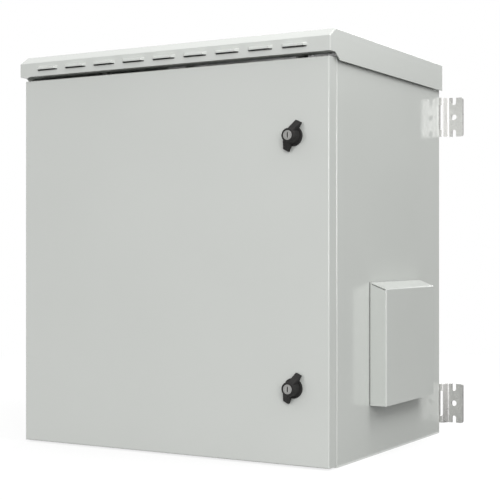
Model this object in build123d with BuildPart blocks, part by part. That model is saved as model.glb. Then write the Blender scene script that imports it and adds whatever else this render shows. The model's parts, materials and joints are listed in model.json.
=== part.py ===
from build123d import *
import os

os.makedirs("parts", exist_ok=True)

# Outdoor wall cabinet for rack equipment, in millimetres.
# Facing the door, +X is to the right, +Y is towards the wall and +Z is up.
# The origin is the middle of the underside of the base.

# Sheet metal and fits
sheet = 1.5              # body, door, roof and hood
bend = 2.5               # outside radius of a fold
bore_fit = 0.05          # radial play of a turning or screwed fit
hole_fit = 0.4           # radial play of a screw in its hole
slide_gap = 0.3          # gap between faces that pass each other
overrun = 5              # how far a cutting shape runs past the metal

# Body
body_width = 600
body_depth = 433
body_height = 640
front_flange = 28        # frame folded in round the door opening
lip_height = 14          # sealing lip, forward of that frame
rear_flange = 45

# Door
door_depth = 24.5
door_gap = 3             # door rim to body
door_inset = 2.5         # door shorter than the body at each end
door_edge_radius = 2
gasket_width = 10

# Hinges, hidden behind the left edge of the door
hinge_end = 138.8        # middle of a hinge, from the end of the body
hinge_length = 54
pin_radius = 2.5
knuckle_wall = 1.7
knuckle_gap = 1.3        # knuckle to the door's folded edge
leaf = 1.5
leaf_gap = 0.4           # knuckle to the leaf on the door
leaf_reach = 11          # door leaf, right of the axis
leaf_tail = 4            # door leaf, left of the axis
body_leaf = 2
body_leaf_width = 20
arm_inset = 0.6          # arm face, right of the axis
cutout_margin = 4        # door edge cut away past the hinge
weld_pitch = 13
weld_radius = 1.2
weld_depth = 0.4
hinge_screw_radius = 2
hinge_screw_pitch = 9

# Locks
lock_inset = 61.7        # from the right edge of the door
lock_end = 123.5         # from the end of the body
lock_base_radius = 16
lock_base_depth = 3
barrel_radius = 10
lock_nut_radius = 15.5
lock_nut_depth = 6
knob_height = 20.2       # above the door
hub_radius = 12.5
hub_front_radius = 11
wing_radius = 25
wing_width = 10
wing_tip_height = 6
wing_tip_gap = 1.2       # wing tip to the door
wing_round = 1.5
wing_edge = 0.8
wing_angle = 26          # degrees from upright, clockwise as seen from the front
spindle_radius = 5
spindle_square = 6.8
plug_radius = 7.5
plug_length = 12
plug_proud = 0.6
keyway_width = 1.6
keyway_length = 8
keyway_depth = 7
cam_length = 48
cam_width = 16
cam_depth = 3
cam_gap = 2              # cam to the body flange
cam_screw_radius = 2.5
cam_screw_length = 10
cam_head_radius = 5.5
cam_head_depth = 4

# Roof
roof_overhang = 6        # past each side of the body
roof_front = 7.7         # fascia, forward of the door
roof_rise = 41           # top of the roof, above the body
fascia_gap = 4           # fascia's lower edge, above the body
fascia_height = 23.7
chamfer_run = 19.7
skirt_drop = 7           # side skirts, below the top of the body
relief_run = 17.7        # level part of the side skirt at the front
roof_bend = 2
roof_lip = 30            # fascia's lower edge folded back
roof_rear_gap = 3
louvre_count = 9
louvre_margin = 31.5     # row of louvres, from each side of the roof
louvre_space = 16        # between louvres
louvre_height = 5.4
louvre_reach = 6
louvre_taper = 4.5
louvre_lip = 3.4
louvre_slit = 1.6        # open below the lip
louvre_wall = 1
louvre_round = 0.8
louvre_rise = 9          # slit's lower edge, above the fascia's lower edge
spacer_radius = 9
stud_radius = 3
stud_end = 14            # stud below the top panel
roof_fix_side = 100      # stud, from the side of the body
roof_fix_end = 76.5      # stud, from the front or rear of the body
roof_nut_radius = 5.8
roof_nut_depth = 5
vent_margin = 120        # vents, from each side of the body
vent_space = 20          # between vents in a row
vent_width = 6
vent_pitch_y = 16
vent_columns = 4
vent_rows = 6

# Equipment rails, to the 19-inch rack standard
rack_unit = 44.45
unit_hole_shares = (1 / 7, 1 / 2, 6 / 7)
rack_hole_in = 17.45     # hole, from the outside of the rail; this body gives 465.1 across
rack_hole = 9.5
rail_side_gap = 50       # rail to the side of the body; this body gives 450 clear
rail_flange = 25
rail_depth = 35
rail_sheet = 2
rail_bend = 3
rail_end_gap = 41.3      # rail to the base and to the top
rail_end = 10            # least rail past the rack units at each end
rail_setback = 62        # front rail, behind the front of the body
support_height = 30
support_end = 26.5       # support to the front and to the rear of the body
support_base = 48        # lower support, above the base
support_slot = 60
rail_bolt_radius = 3
rail_head_radius = 5
rail_head_depth = 3.5
rail_nut_depth = 5

# Hood on the right side
hood_y = 9
hood_bottom = 84
hood_width = 208
hood_height = 202
hood_reach = 30
hood_slope = 11
hood_bend = 2
hood_seal_depth = 1.2
hood_flange = 14
hood_seam = 1.2
hood_stud_radius = 2.5
hood_stud_end = 10       # stud inside the side panel
hood_nut_radius = 4.6
hood_nut_depth = 4

# Fan and filter, inside the right side panel
fan_lift = 5             # fan, above the middle of the hood
fan_size = 120
fan_depth = 25
fan_bore_radius = 57.5
fan_hole_pitch = 105
fan_screw_radius = 2
fan_head_radius = 3.8
fan_head_depth = 2.5
fan_nut_radius = 4
fan_nut_depth = 3.2
fan_hub_radius = 21
fan_strut_width = 6
fan_strut_depth = 3
fan_shaft_radius = 3
fan_blade_count = 7
fan_blade_radius = 53
fan_blade_depth = 1.6
fan_blade_camber = 2.4
fan_root_reach = 15.5    # blade along the axis, at the hub
fan_root_sweep = 10      # blade round the axis, at the hub
fan_tip_reach = 12
fan_tip_sweep = 25
fan_hub_round = 2
filter_depth = 8
guard_depth = 1.5
guard_slot_length = 84
guard_slot_width = 6
guard_slot_pitch = 10
guard_slot_count = 9

# Wall brackets
bracket_end = 55         # middle of a bracket, from the end of the body
bracket_height = 72
bracket_sheet = 4
bracket_bend = 5
bracket_tail = 40        # behind the body
bracket_step_start = 6   # fold, outside the body's side
bracket_step_end = 12
bracket_step = 12.5      # wall flange, behind the body
bracket_reach = 40.7
bracket_corner = 4
wall_hole_out = 23.4     # wall hole, outside the body's side
wall_hole_radius = 5
notch_width = 8
notch_depth = 13
strap_slot_width = 5.6
strap_slot_height = 46
strap_slot_corner = 2
bracket_bolt_in = 24     # bolt, inside the body's side
bracket_bolt_pitch = 40
bracket_bolt_radius = 4
bracket_head_radius = 7.5
bracket_head_depth = 5.3
bracket_nut_depth = 6.5

# Cable entry and earth
gland_rear = 96.5        # middle of the cut-out, from the rear of the body
gland_side = 150         # cut-out, from each side of the body
gland_cut_depth = 76
gland_margin = 14
gland_sheet = 2
gland_screw_radius = 2.5
gland_head_radius = 4.5
gland_head_depth = 3
grommet_count = 4
grommet_end = 14         # row of grommets, from each end of the cut-out
grommet_radius = 16
grommet_rim = 4
grommet_lower = 1.2
grommet_upper = 2.5
grommet_cone = 6
grommet_taper = 38       # degrees
earth_side = 120         # from the left side of the body
earth_front = 96.5       # from the front of the body
earth_radius = 4
earth_height = 30
earth_nut_radius = 7.5
earth_nut_depth = 6.5

# Places that follow from the sizes above
half_width = body_width / 2
front = -body_depth / 2
rear = body_depth / 2
middle = body_height / 2
opening = half_width - front_flange
lip_corner = front_flange - sheet
rim = front - door_gap
door_front = rim - door_depth
door_inside = door_front + sheet
door_height = body_height - 2 * door_inset
knuckle_radius = pin_radius + knuckle_wall
hinge_x = -half_width + sheet + knuckle_gap + knuckle_radius
hinge_y = door_inside + leaf + leaf_gap + knuckle_radius
knuckle_length = hinge_length / 3
lock_x = half_width - lock_inset
cam_front = front + sheet + cam_gap
cam_rear = cam_front + cam_depth
knob_front = door_front - knob_height
knob_back = door_front - lock_base_depth - slide_gap
roof_half = half_width + roof_overhang
fascia_y = door_front - roof_front
fascia_bottom = body_height + fascia_gap
fascia_top = fascia_bottom + fascia_height
roof_top = body_height + roof_rise
skirt_bottom = body_height - skirt_drop
slit_bottom = fascia_bottom + louvre_rise
louvre_bottom = slit_bottom + louvre_slit
louvre_pitch = 2 * (roof_half - louvre_margin) / louvre_count
louvre_length = louvre_pitch - louvre_space
roof_fix_x = body_width - 2 * roof_fix_side
roof_fix_y = body_depth - 2 * roof_fix_end
vent_pitch_x = (body_width - 2 * vent_margin) / vent_columns
vent_length = vent_pitch_x - vent_space
rail_outer = half_width - rail_side_gap
rail_inner = rail_outer - rail_flange
rail_front = front + rail_setback
rail_length = body_height - 2 * rail_end_gap
unit_count = int((rail_length - 2 * rail_end) // rack_unit)
rail_bolt_y = rail_front + rail_depth / 2
support_middle = support_base + support_height / 2
support_length = body_depth - 2 * support_end
hood_back = half_width + hood_seal_depth
hood_front = half_width + hood_reach
hood_middle = hood_bottom + hood_height / 2
fan_z = hood_middle + fan_lift
stud_pitch_y = hood_width - hood_flange
stud_pitch_z = hood_height - hood_flange
panel_inside = half_width - sheet
filter_inside = panel_inside - filter_depth
fan_inside = filter_inside - fan_depth
guard_inside = fan_inside - guard_depth
wall_hole_x = half_width + wall_hole_out
wall_flange_y = rear + bracket_step
wall_plane = wall_flange_y + bracket_sheet
bracket_bolt_x = half_width - bracket_bolt_in
gland_y = rear - gland_rear
gland_cut_width = body_width - 2 * gland_side
grommet_pitch = (gland_cut_width - 2 * grommet_end) / grommet_count
earth_x = earth_side - half_width
earth_y = front + earth_front

hinge_levels = {"upper": body_height - hinge_end, "lower": hinge_end}
lock_levels = {"upper": body_height - lock_end, "lower": lock_end}
bracket_levels = {"upper": body_height - bracket_end, "lower": bracket_end}
bracket_bolt_levels = [
    level + turn * bracket_bolt_pitch / 2 for level in bracket_levels.values() for turn in (-1, 1)
]
support_levels = {"upper": body_height - support_middle, "lower": support_middle}


# Sketch planes: X and Z seen from the front, Y and Z seen from the right, X and Y seen from above
def seen_from_front(y):
    return Plane.XZ.offset(-y)


def seen_from_right(x):
    return Plane.YZ.offset(x)


def seen_from_above(z):
    return Plane.XY.offset(z)


def save(part, name):
    part.label = name
    export_step(part, "parts/" + name + ".step")


# Side panels: sealing lip, front flange, side and rear flange folded from one sheet
def side_panel():
    with BuildPart() as panel:
        with BuildSketch(Plane.XY):
            with BuildLine():
                FilletPolyline(
                    (opening + sheet, front - lip_height),
                    (opening + sheet, front),
                    (half_width, front),
                    (half_width, rear),
                    (half_width - rear_flange, rear),
                    radius=bend,
                )
                offset(amount=sheet, side=Side.LEFT)
            make_face()
        extrude(amount=body_height)
        # the lip stops short at each end, where the lips of the base and top run on
        with BuildSketch(seen_from_front(front)):
            with Locations((opening, 0), (opening, body_height - lip_corner)):
                Rectangle(front_flange, lip_corner, align=(Align.MIN, Align.MIN))
        extrude(amount=lip_height + overrun, mode=Mode.SUBTRACT)
        # bracket bolt holes through the rear flange
        with BuildSketch(seen_from_front(rear)):
            with Locations([(bracket_bolt_x, level) for level in bracket_bolt_levels]):
                Circle(bracket_bolt_radius + hole_fit)
        extrude(amount=bend, mode=Mode.SUBTRACT)
    return panel.part


side_blank = side_panel()
with BuildPart() as left_side_panel:
    add(mirror(side_blank, about=Plane.YZ, mode=Mode.PRIVATE))
save(left_side_panel.part, "left_side_panel")

with BuildPart() as right_side_panel:
    add(side_blank)
    with BuildSketch(seen_from_right(panel_inside)):
        with Locations((hood_y, fan_z)):
            Circle(fan_bore_radius)
            with GridLocations(fan_hole_pitch, fan_hole_pitch, 2, 2):
                Circle(fan_screw_radius + hole_fit)
        with Locations((hood_y, hood_middle)):
            with GridLocations(stud_pitch_y, stud_pitch_z, 2, 2):
                Circle(hood_stud_radius + hole_fit)
    extrude(amount=sheet + overrun, mode=Mode.SUBTRACT)
save(right_side_panel.part, "right_side_panel")

with BuildPart() as rear_panel:
    with BuildSketch(seen_from_front(rear - sheet)):
        with Locations((0, middle)):
            Rectangle(body_width - 2 * bend, body_height - 2 * bend)
        with Locations(
            [(turn * bracket_bolt_x, level) for turn in (-1, 1) for level in bracket_bolt_levels]
        ):
            Circle(bracket_bolt_radius + hole_fit, mode=Mode.SUBTRACT)
    extrude(amount=sheet)
save(rear_panel.part, "rear_panel")


# Base and top: the same folds, fitted between the side panels
def end_panel():
    with BuildPart() as panel:
        with BuildSketch(seen_from_right(-panel_inside)):
            with BuildLine():
                FilletPolyline(
                    (front - lip_height, lip_corner),
                    (front, lip_corner),
                    (front, 0),
                    (rear, 0),
                    (rear, rear_flange),
                    radius=bend,
                )
                offset(amount=sheet, side=Side.LEFT)
            make_face()
        extrude(amount=2 * panel_inside)
        # corner reliefs for the side panels' flanges
        with BuildSketch(Plane.XY):
            with Locations((-half_width, front + bend), (half_width, front + bend)):
                Rectangle(2 * front_flange, lip_height + bend + overrun, align=(Align.CENTER, Align.MAX))
            with Locations((-half_width, rear - bend), (half_width, rear - bend)):
                Rectangle(2 * rear_flange, bend + overrun, align=(Align.CENTER, Align.MIN))
        extrude(amount=body_height, mode=Mode.SUBTRACT)
    return panel.part


end_blank = end_panel()
with BuildPart() as base_panel:
    add(end_blank)
    with BuildSketch(Plane.XY):
        with Locations((0, gland_y)):
            Rectangle(gland_cut_width, gland_cut_depth)
            with GridLocations((gland_cut_width + gland_margin) / 2, gland_cut_depth + gland_margin, 3, 2):
                Circle(gland_screw_radius + bore_fit)
        with Locations((earth_x, earth_y)):
            Circle(earth_radius)
    extrude(amount=bend, mode=Mode.SUBTRACT)
save(base_panel.part, "base_panel")

with BuildPart() as top_panel:
    add(mirror(end_blank, about=seen_from_above(middle), mode=Mode.PRIVATE))
    with BuildSketch(seen_from_above(body_height)):
        with GridLocations(vent_pitch_x, vent_pitch_y, vent_columns, vent_rows):
            Rectangle(vent_length, vent_width)
        with GridLocations(roof_fix_x, roof_fix_y, 2, 2):
            Circle(stud_radius + hole_fit)
    extrude(amount=-bend, mode=Mode.SUBTRACT)
save(top_panel.part, "top_panel")

# Roof: top, front chamfer, louvred fascia and side skirts
with BuildPart() as louvre_outside:
    with BuildSketch(seen_from_front(fascia_y)):
        with Locations((0, louvre_bottom)):
            Rectangle(louvre_length, louvre_height, align=(Align.CENTER, Align.MIN))
    with BuildSketch(seen_from_front(fascia_y - louvre_reach)):
        with Locations((0, louvre_bottom)):
            Rectangle(louvre_length - 2 * louvre_taper, louvre_lip, align=(Align.CENTER, Align.MIN))
    loft()
    pressed_edges = edges().filter_by(lambda edge: edge.center().Z > louvre_bottom + bore_fit)
    fillet(pressed_edges.filter_by(lambda edge: edge.center().Y < fascia_y - bore_fit), radius=louvre_round)

with BuildPart() as louvre_inside:
    with BuildSketch(seen_from_front(fascia_y + sheet)):
        with Locations((0, slit_bottom)):
            Rectangle(
                louvre_length - louvre_wall,
                louvre_slit + louvre_height - louvre_wall / 2,
                align=(Align.CENTER, Align.MIN),
            )
    with BuildSketch(seen_from_front(fascia_y - louvre_reach + louvre_wall)):
        with Locations((0, slit_bottom)):
            Rectangle(
                louvre_length - 2 * louvre_taper,
                louvre_slit + louvre_lip - louvre_wall / 2,
                align=(Align.CENTER, Align.MIN),
            )
    loft()

with BuildPart() as roof_cover:
    with BuildSketch(seen_from_right(-roof_half)):
        with BuildLine():
            Polyline(
                (fascia_y, fascia_bottom),
                (fascia_y, fascia_top),
                (fascia_y + chamfer_run, roof_top),
                (rear, roof_top),
                (rear, skirt_bottom),
                (front, skirt_bottom),
                (fascia_y + relief_run, fascia_bottom),
                close=True,
            )
        make_face()
    extrude(amount=2 * roof_half)
    upper_edges = edges().filter_by(lambda edge: edge.center().Z > fascia_bottom + sheet)
    fillet(upper_edges, radius=roof_bend)
    underside = faces().filter_by(lambda face: face.normal_at().Z < -bore_fit)
    offset(amount=-sheet, openings=underside)
    # the rear wall stops above the body
    with BuildSketch(seen_from_front(rear)):
        with Locations((0, body_height + roof_rear_gap)):
            Rectangle(2 * (roof_half - sheet), roof_rise, align=(Align.CENTER, Align.MAX))
    extrude(amount=bend, mode=Mode.SUBTRACT)
    # the fascia's lower edge is folded back
    with BuildSketch(seen_from_above(fascia_bottom)):
        with Locations((0, fascia_y)):
            Rectangle(2 * (roof_half - sheet), roof_lip, align=(Align.CENTER, Align.MIN))
    extrude(amount=sheet)
    with GridLocations(louvre_pitch, 0, louvre_count, 1):
        add(louvre_outside.part)
    with GridLocations(louvre_pitch, 0, louvre_count, 1):
        add(louvre_inside.part, mode=Mode.SUBTRACT)
    # fixing studs welded under the top
    with BuildSketch(seen_from_above(roof_top - sheet)):
        with GridLocations(roof_fix_x, roof_fix_y, 2, 2):
            Circle(stud_radius)
    extrude(amount=-(roof_rise + stud_end))
save(roof_cover.part, "roof_cover")

with BuildPart() as roof_spacers:
    with BuildSketch(seen_from_above(body_height)):
        with GridLocations(roof_fix_x, roof_fix_y, 2, 2):
            Circle(spacer_radius)
            Circle(stud_radius + hole_fit, mode=Mode.SUBTRACT)
    extrude(amount=roof_rise - sheet)
save(roof_spacers.part, "roof_spacers")

with BuildPart() as roof_nuts:
    with BuildSketch(seen_from_above(body_height - sheet)):
        with GridLocations(roof_fix_x, roof_fix_y, 2, 2):
            RegularPolygon(roof_nut_radius, 6)
            Circle(stud_radius + bore_fit, mode=Mode.SUBTRACT)
    extrude(amount=-roof_nut_depth)
save(roof_nuts.part, "roof_nuts")

# Door: a folded pan over the sealing lip
with BuildPart() as door_panel:
    with BuildSketch(seen_from_front(rim)):
        with Locations((0, middle)):
            Rectangle(body_width, door_height)
    extrude(amount=door_depth)
    fillet(edges().group_by(Axis.Y)[0], radius=door_edge_radius)
    offset(amount=-sheet, openings=faces().sort_by(Axis.Y)[-1])
    with BuildSketch(seen_from_front(door_inside)):
        with Locations([(lock_x, level) for level in lock_levels.values()]):
            Circle(barrel_radius + hole_fit)
    extrude(amount=sheet + overrun, mode=Mode.SUBTRACT)
    # the folded edge is cut away for the hinges
    with BuildSketch(seen_from_right(-half_width - overrun)):
        with Locations([(door_front + door_edge_radius, level) for level in hinge_levels.values()]):
            Rectangle(
                door_depth + overrun, hinge_length + 2 * cutout_margin, align=(Align.MIN, Align.CENTER)
            )
    extrude(amount=overrun + sheet + bore_fit, mode=Mode.SUBTRACT)
    # weld marks of the hinge leaves
    with BuildSketch(seen_from_front(door_front)):
        with Locations([(hinge_x, level) for level in hinge_levels.values()]):
            with GridLocations(0, weld_pitch, 1, 3):
                Circle(weld_radius)
    extrude(amount=-weld_depth, mode=Mode.SUBTRACT)
save(door_panel.part, "door_panel")

with BuildPart() as door_gasket:
    lip_ring_width = 2 * opening + sheet
    lip_ring_height = body_height - 2 * front_flange + sheet
    with BuildSketch(seen_from_front(front - lip_height - slide_gap)):
        with Locations((0, middle)):
            Rectangle(lip_ring_width + gasket_width, lip_ring_height + gasket_width)
            Rectangle(lip_ring_width - gasket_width, lip_ring_height - gasket_width, mode=Mode.SUBTRACT)
    extrude(amount=front - lip_height - slide_gap - door_inside)
save(door_gasket.part, "door_gasket")

# Hinges: a leaf welded to the door turns between two knuckles of the leaf on the body
for place, level in hinge_levels.items():
    bottom = level - hinge_length / 2
    knuckle_bottom = level - knuckle_length / 2

    with BuildPart() as hinge_body_leaf:
        with BuildSketch(seen_from_above(bottom)):
            with Locations((hinge_x, hinge_y)):
                Circle(knuckle_radius)
            with Locations((hinge_x + arm_inset, hinge_y)):
                Rectangle(knuckle_radius - arm_inset, front - hinge_y, align=(Align.MIN, Align.MIN))
        extrude(amount=hinge_length)
        with BuildSketch(seen_from_above(knuckle_bottom - slide_gap)):
            with Locations((hinge_x, front - body_leaf)):
                Rectangle(4 * knuckle_radius, 2 * (front - hinge_y), align=(Align.CENTER, Align.MAX))
        extrude(amount=knuckle_length + 2 * slide_gap, mode=Mode.SUBTRACT)
        with BuildSketch(seen_from_above(bottom)):
            with Locations((hinge_x - leaf_tail, front)):
                Rectangle(body_leaf_width, body_leaf, align=(Align.MIN, Align.MAX))
        extrude(amount=hinge_length)
        with BuildSketch(seen_from_above(bottom)):
            with Locations((hinge_x, hinge_y)):
                Circle(pin_radius + bore_fit)
        extrude(amount=hinge_length, mode=Mode.SUBTRACT)
        with BuildSketch(seen_from_front(front)):
            with Locations((hinge_x + knuckle_radius, level)):
                with GridLocations(0, hinge_screw_pitch, 1, 2):
                    Circle(hinge_screw_radius + bore_fit)
        extrude(amount=body_leaf, mode=Mode.SUBTRACT)
    save(hinge_body_leaf.part, place + "_hinge_body_leaf")

    with BuildPart() as hinge_door_leaf:
        with BuildSketch(seen_from_above(bottom)):
            with Locations((hinge_x - leaf_tail, door_inside)):
                Rectangle(leaf_tail + leaf_reach, leaf, align=(Align.MIN, Align.MIN))
        extrude(amount=hinge_length)
        with BuildSketch(seen_from_above(knuckle_bottom)):
            with Locations((hinge_x, hinge_y)):
                Circle(knuckle_radius)
                Rectangle(2 * pin_radius, hinge_y - door_inside, align=(Align.CENTER, Align.MAX))
        extrude(amount=knuckle_length)
        with BuildSketch(seen_from_above(knuckle_bottom)):
            with Locations((hinge_x, hinge_y)):
                Circle(pin_radius + bore_fit)
        extrude(amount=knuckle_length, mode=Mode.SUBTRACT)
    save(hinge_door_leaf.part, place + "_hinge_door_leaf")

    with BuildPart() as hinge_pin:
        with BuildSketch(seen_from_above(bottom)):
            with Locations((hinge_x, hinge_y)):
                Circle(pin_radius)
        extrude(amount=hinge_length)
    save(hinge_pin.part, place + "_hinge_pin")

with BuildPart() as hinge_screws:
    with BuildSketch(seen_from_front(front)):
        with Locations([(hinge_x + knuckle_radius, level) for level in hinge_levels.values()]):
            with GridLocations(0, hinge_screw_pitch, 1, 2):
                Circle(hinge_screw_radius)
    extrude(amount=body_leaf)
    with BuildSketch(seen_from_front(front - body_leaf)):
        with Locations([(hinge_x + knuckle_radius, level) for level in hinge_levels.values()]):
            with GridLocations(0, hinge_screw_pitch, 1, 2):
                Circle(2 * hinge_screw_radius)
    extrude(amount=hinge_screw_radius)
save(hinge_screws.part, "hinge_screws")

# Locks: a wing knob turns a cam behind the front flange; the key plug turns inside the knob
wing_up = Vector(0, 0, 1).rotate(Axis.Y, wing_angle)
wing_across = Vector(1, 0, 0).rotate(Axis.Y, wing_angle)
for place, level in lock_levels.items():
    with BuildPart() as lock_housing:
        with BuildSketch(seen_from_front(door_front)):
            with Locations((lock_x, level)):
                Circle(lock_base_radius)
        extrude(amount=lock_base_depth)
        chamfer(edges().group_by(Axis.Y)[0], length=lock_base_depth / 3)
        with BuildSketch(seen_from_front(door_front)):
            with Locations((lock_x, level)):
                Circle(barrel_radius)
        extrude(amount=-(cam_front - slide_gap - door_front))
        with BuildSketch(seen_from_front(cam_front)):
            with Locations((lock_x, level)):
                Circle(spindle_radius + bore_fit)
        extrude(amount=cam_front - knob_back, mode=Mode.SUBTRACT)
    save(lock_housing.part, place + "_lock_housing")

    with BuildPart() as lock_nut:
        with BuildSketch(seen_from_front(door_inside)):
            with Locations((lock_x, level)):
                RegularPolygon(lock_nut_radius, 6)
                Circle(barrel_radius + bore_fit, mode=Mode.SUBTRACT)
        extrude(amount=-lock_nut_depth)
    save(lock_nut.part, place + "_lock_nut")

    axis_plane = Plane(origin=(lock_x, knob_back, level), x_dir=(1, 0, 0), z_dir=(0, -1, 0))
    wing_plane = Plane(origin=axis_plane.origin, x_dir=wing_across, z_dir=axis_plane.z_dir)
    fin_plane = Plane(origin=axis_plane.origin, x_dir=wing_up, z_dir=wing_across)
    hub_height = knob_back - knob_front
    # two sloping wings, close to the door at their tips
    with BuildPart() as knob_wings:
        with BuildSketch(fin_plane):
            with BuildLine():
                Polyline(
                    (-wing_radius, wing_tip_gap - lock_base_depth - slide_gap),
                    (-lock_base_radius - slide_gap, wing_tip_gap - lock_base_depth - slide_gap),
                    (-lock_base_radius - slide_gap, 0),
                    (lock_base_radius + slide_gap, 0),
                    (lock_base_radius + slide_gap, wing_tip_gap - lock_base_depth - slide_gap),
                    (wing_radius, wing_tip_gap - lock_base_depth - slide_gap),
                    (wing_radius, wing_tip_height - lock_base_depth - slide_gap),
                    (hub_front_radius, hub_height - wing_round),
                    (-hub_front_radius, hub_height - wing_round),
                    (-wing_radius, wing_tip_height - lock_base_depth - slide_gap),
                    close=True,
                )
            make_face()
        extrude(amount=wing_width / 2, both=True)
        slopes = faces().filter_by(lambda face: bore_fit < -face.normal_at().Y < 1 - bore_fit)
        fillet(slopes.edges(), radius=wing_edge)

    with BuildPart() as wing_knob:
        # the hub tapers towards the key plug
        with BuildSketch(axis_plane):
            Circle(hub_radius)
        with BuildSketch(axis_plane.offset(hub_height)):
            Circle(hub_front_radius)
        loft()
        fillet(edges().group_by(Axis.Y)[0], radius=wing_round)
        add(knob_wings.part)
        # spindle through the housing, squared for the cam
        with BuildSketch(axis_plane):
            Circle(spindle_radius)
        extrude(amount=-(cam_front - knob_back))
        with BuildSketch(wing_plane.offset(knob_back - cam_front)):
            Rectangle(spindle_square, spindle_square)
        extrude(amount=-cam_depth)
        with BuildSketch(axis_plane.offset(knob_back - cam_rear)):
            Circle(cam_screw_radius + bore_fit)
        extrude(amount=cam_screw_length, mode=Mode.SUBTRACT)
        with BuildSketch(axis_plane.offset(hub_height)):
            Circle(plug_radius + bore_fit)
        extrude(amount=-plug_length, mode=Mode.SUBTRACT)
    save(wing_knob.part, place + "_wing_knob")

    with BuildPart() as lock_plug:
        with BuildSketch(axis_plane.offset(hub_height - plug_length)):
            Circle(plug_radius)
        extrude(amount=plug_length + plug_proud)
        chamfer(edges().group_by(Axis.Y)[0], length=plug_proud / 2)
        with BuildSketch(axis_plane.offset(hub_height + plug_proud)):
            Rectangle(keyway_width, keyway_length)
        extrude(amount=-keyway_depth, mode=Mode.SUBTRACT)
    save(lock_plug.part, place + "_lock_plug")

    with BuildPart() as lock_cam:
        with BuildSketch(wing_plane.offset(knob_back - cam_front)):
            with Locations((0, (cam_length - cam_width / 2) / 2)):
                RectangleRounded(cam_width, cam_length + cam_width / 2, bend)
            Rectangle(spindle_square + bore_fit, spindle_square + bore_fit, mode=Mode.SUBTRACT)
        extrude(amount=-cam_depth)
    save(lock_cam.part, place + "_lock_cam")

    with BuildPart() as cam_screw:
        with BuildSketch(axis_plane.offset(knob_back - cam_rear)):
            Circle(cam_screw_radius)
        extrude(amount=cam_screw_length)
        with BuildSketch(axis_plane.offset(knob_back - cam_rear)):
            RegularPolygon(cam_head_radius, 6)
        extrude(amount=-cam_head_depth)
    save(cam_screw.part, place + "_cam_screw")


# Rack rails: an angle with square holes in its face
def front_right_rail():
    with BuildPart() as rail:
        with BuildSketch(seen_from_above(middle - rail_length / 2)):
            with BuildLine():
                FilletPolyline(
                    (rail_inner, rail_front),
                    (rail_outer, rail_front),
                    (rail_outer, rail_front + rail_depth),
                    radius=rail_bend,
                )
                offset(amount=rail_sheet, side=Side.LEFT)
            make_face()
        extrude(amount=rail_length)
        first = middle - rack_unit * unit_count / 2
        hole_steps = [unit + share for unit in range(unit_count) for share in unit_hole_shares]
        holes = [first + rack_unit * step for step in hole_steps]
        with BuildSketch(seen_from_front(rail_front)):
            with Locations([(rail_outer - rack_hole_in, hole) for hole in holes]):
                Rectangle(rack_hole, rack_hole)
        extrude(amount=-rail_sheet, mode=Mode.SUBTRACT)
        with BuildSketch(seen_from_right(rail_outer)):
            with Locations([(rail_bolt_y, level) for level in support_levels.values()]):
                Circle(rail_bolt_radius + hole_fit)
        extrude(amount=-rail_sheet, mode=Mode.SUBTRACT)
    return rail.part


rail_blank = front_right_rail()
with BuildPart() as right_front_rail:
    add(rail_blank)
save(right_front_rail.part, "right_front_rail")

with BuildPart() as left_front_rail:
    add(mirror(rail_blank, about=Plane.YZ, mode=Mode.PRIVATE))
save(left_front_rail.part, "left_front_rail")

with BuildPart() as right_rear_rail:
    add(mirror(rail_blank, about=Plane.XZ, mode=Mode.PRIVATE))
save(right_rear_rail.part, "right_rear_rail")

with BuildPart() as left_rear_rail:
    add(rail_blank, rotation=(0, 0, 180))
save(left_rear_rail.part, "left_rear_rail")


# Rail supports: channels welded to the side panels, slotted so the rails can slide
def lower_right_support():
    with BuildPart() as support:
        with BuildSketch(seen_from_front(support_length / 2)):
            with BuildLine():
                FilletPolyline(
                    (panel_inside, support_base),
                    (panel_inside, support_base + support_height),
                    (rail_outer, support_base + support_height),
                    (rail_outer, support_base),
                    radius=rail_bend,
                )
                offset(amount=rail_sheet, side=Side.LEFT)
            make_face()
        extrude(amount=support_length)
        with BuildSketch(seen_from_right(rail_outer)):
            with Locations((-rail_bolt_y, support_middle), (rail_bolt_y, support_middle)):
                SlotOverall(support_slot, 2 * (rail_bolt_radius + hole_fit))
        extrude(amount=rail_sheet, mode=Mode.SUBTRACT)
    return support.part


support_blank = lower_right_support()
with BuildPart() as lower_right_support_part:
    add(support_blank)
save(lower_right_support_part.part, "lower_right_rail_support")

with BuildPart() as lower_left_support_part:
    add(mirror(support_blank, about=Plane.YZ, mode=Mode.PRIVATE))
save(lower_left_support_part.part, "lower_left_rail_support")

with BuildPart() as upper_right_support_part:
    add(mirror(support_blank, about=seen_from_above(middle), mode=Mode.PRIVATE))
save(upper_right_support_part.part, "upper_right_rail_support")

with BuildPart() as upper_left_support_part:
    upper = mirror(support_blank, about=seen_from_above(middle), mode=Mode.PRIVATE)
    add(mirror(upper, about=Plane.YZ, mode=Mode.PRIVATE))
save(upper_left_support_part.part, "upper_left_rail_support")

rail_bolt_places = [(turn * rail_bolt_y, level) for turn in (-1, 1) for level in support_levels.values()]

with BuildPart() as rail_bolts:
    with BuildSketch(seen_from_right(rail_outer - rail_sheet)):
        with Locations(rail_bolt_places):
            Circle(rail_bolt_radius)
    extrude(amount=2 * rail_sheet + rail_nut_depth + rail_bolt_radius)
    with BuildSketch(seen_from_right(rail_outer - rail_sheet)):
        with Locations(rail_bolt_places):
            Circle(rail_head_radius)
    extrude(amount=-rail_head_depth)
    mirror(about=Plane.YZ)
save(rail_bolts.part, "rail_bolts")

with BuildPart() as rail_nuts:
    with BuildSketch(seen_from_right(rail_outer + rail_sheet)):
        with Locations(rail_bolt_places):
            RegularPolygon(rail_head_radius + hole_fit, 6)
            Circle(rail_bolt_radius + bore_fit, mode=Mode.SUBTRACT)
    extrude(amount=rail_nut_depth)
    mirror(about=Plane.YZ)
save(rail_nuts.part, "rail_nuts")

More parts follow.
